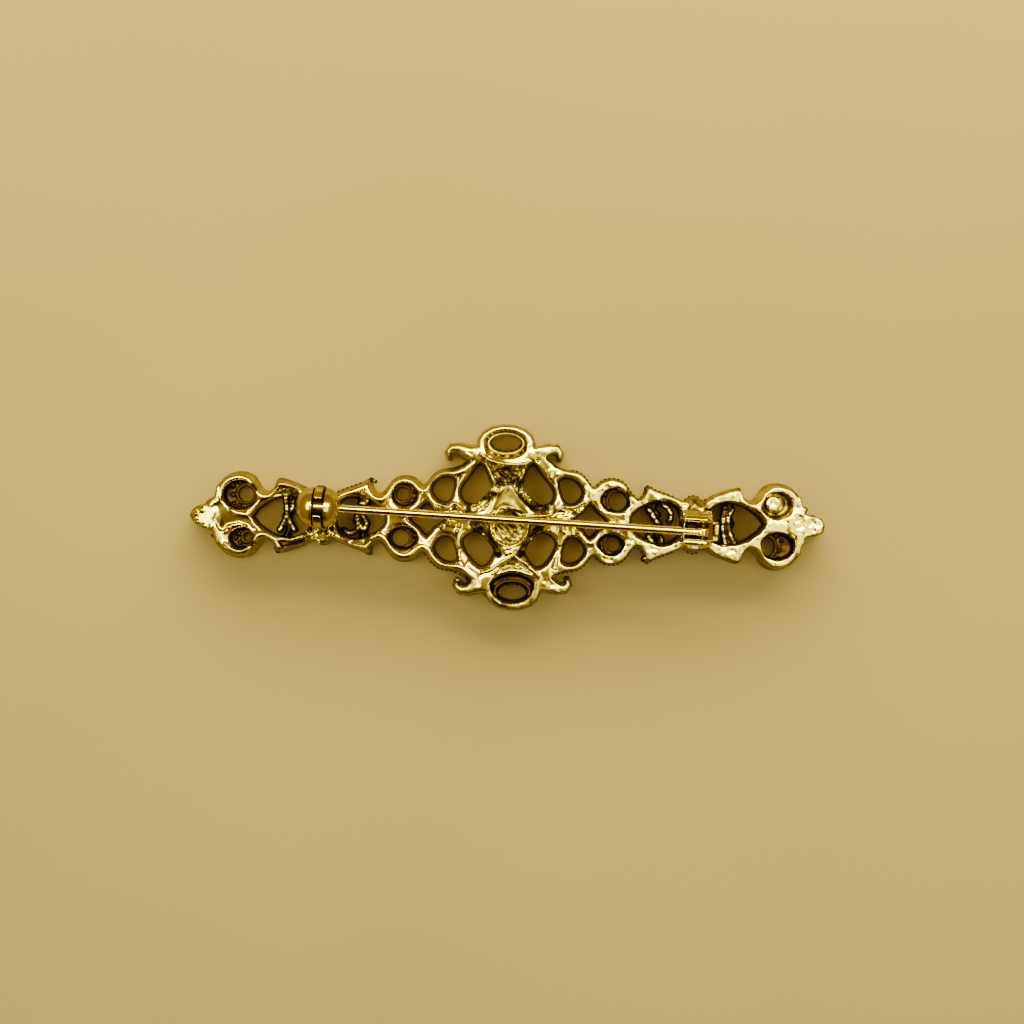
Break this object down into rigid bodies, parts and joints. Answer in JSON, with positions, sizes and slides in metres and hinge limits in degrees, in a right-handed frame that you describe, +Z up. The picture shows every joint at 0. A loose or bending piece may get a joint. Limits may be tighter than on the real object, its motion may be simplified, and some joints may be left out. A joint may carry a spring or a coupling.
{
  "type": "openwork bar brooch with hinged pin and ball safety catch",
  "caption": "Gold-tone openwork bar brooch lying on its front, with a hinged pin stem that locks in a turning ball safety catch on the back.",
  "frame": {"origin": "under the middle of the whole brooch, on the surface that its front face rests on", "axes": "+X along the bar towards the pin's hinge, +Y across the bar, +Z up out of the back of the brooch"},
  "size_m": [0.0758, 0.0222, 0.0074],
  "materials": {
    "antique_gold": "gold plated casting, bright on the ribs with dark antique patina in the recesses",
    "bright_gold": "polished gold plate",
    "pin_wire": "polished drawn wire, pale gold plate"
  },
  "bodies": {
    "frame": {"openwork": "antique_gold", "rivet": "bright_gold"},
    "pin": {"pin_stem": "pin_wire"},
    "ball": {"locking_ball": "bright_gold"}
  },
  "joints": [
    {"name": "pin_lift", "type": "hinge", "parent": "frame", "child": "pin", "pos_m": [0.0226, -0.0013, 0.0051], "axis": [0.0489, 0.9988, 0], "range_deg": [0, 80]},
    {"name": "ball_turn", "type": "hinge", "parent": "frame", "child": "ball", "pos_m": [-0.02225, 0.00089, 0.0051], "axis": [0.9988, -0.0489, 0], "range_deg": [-110, 0]}
  ]
}
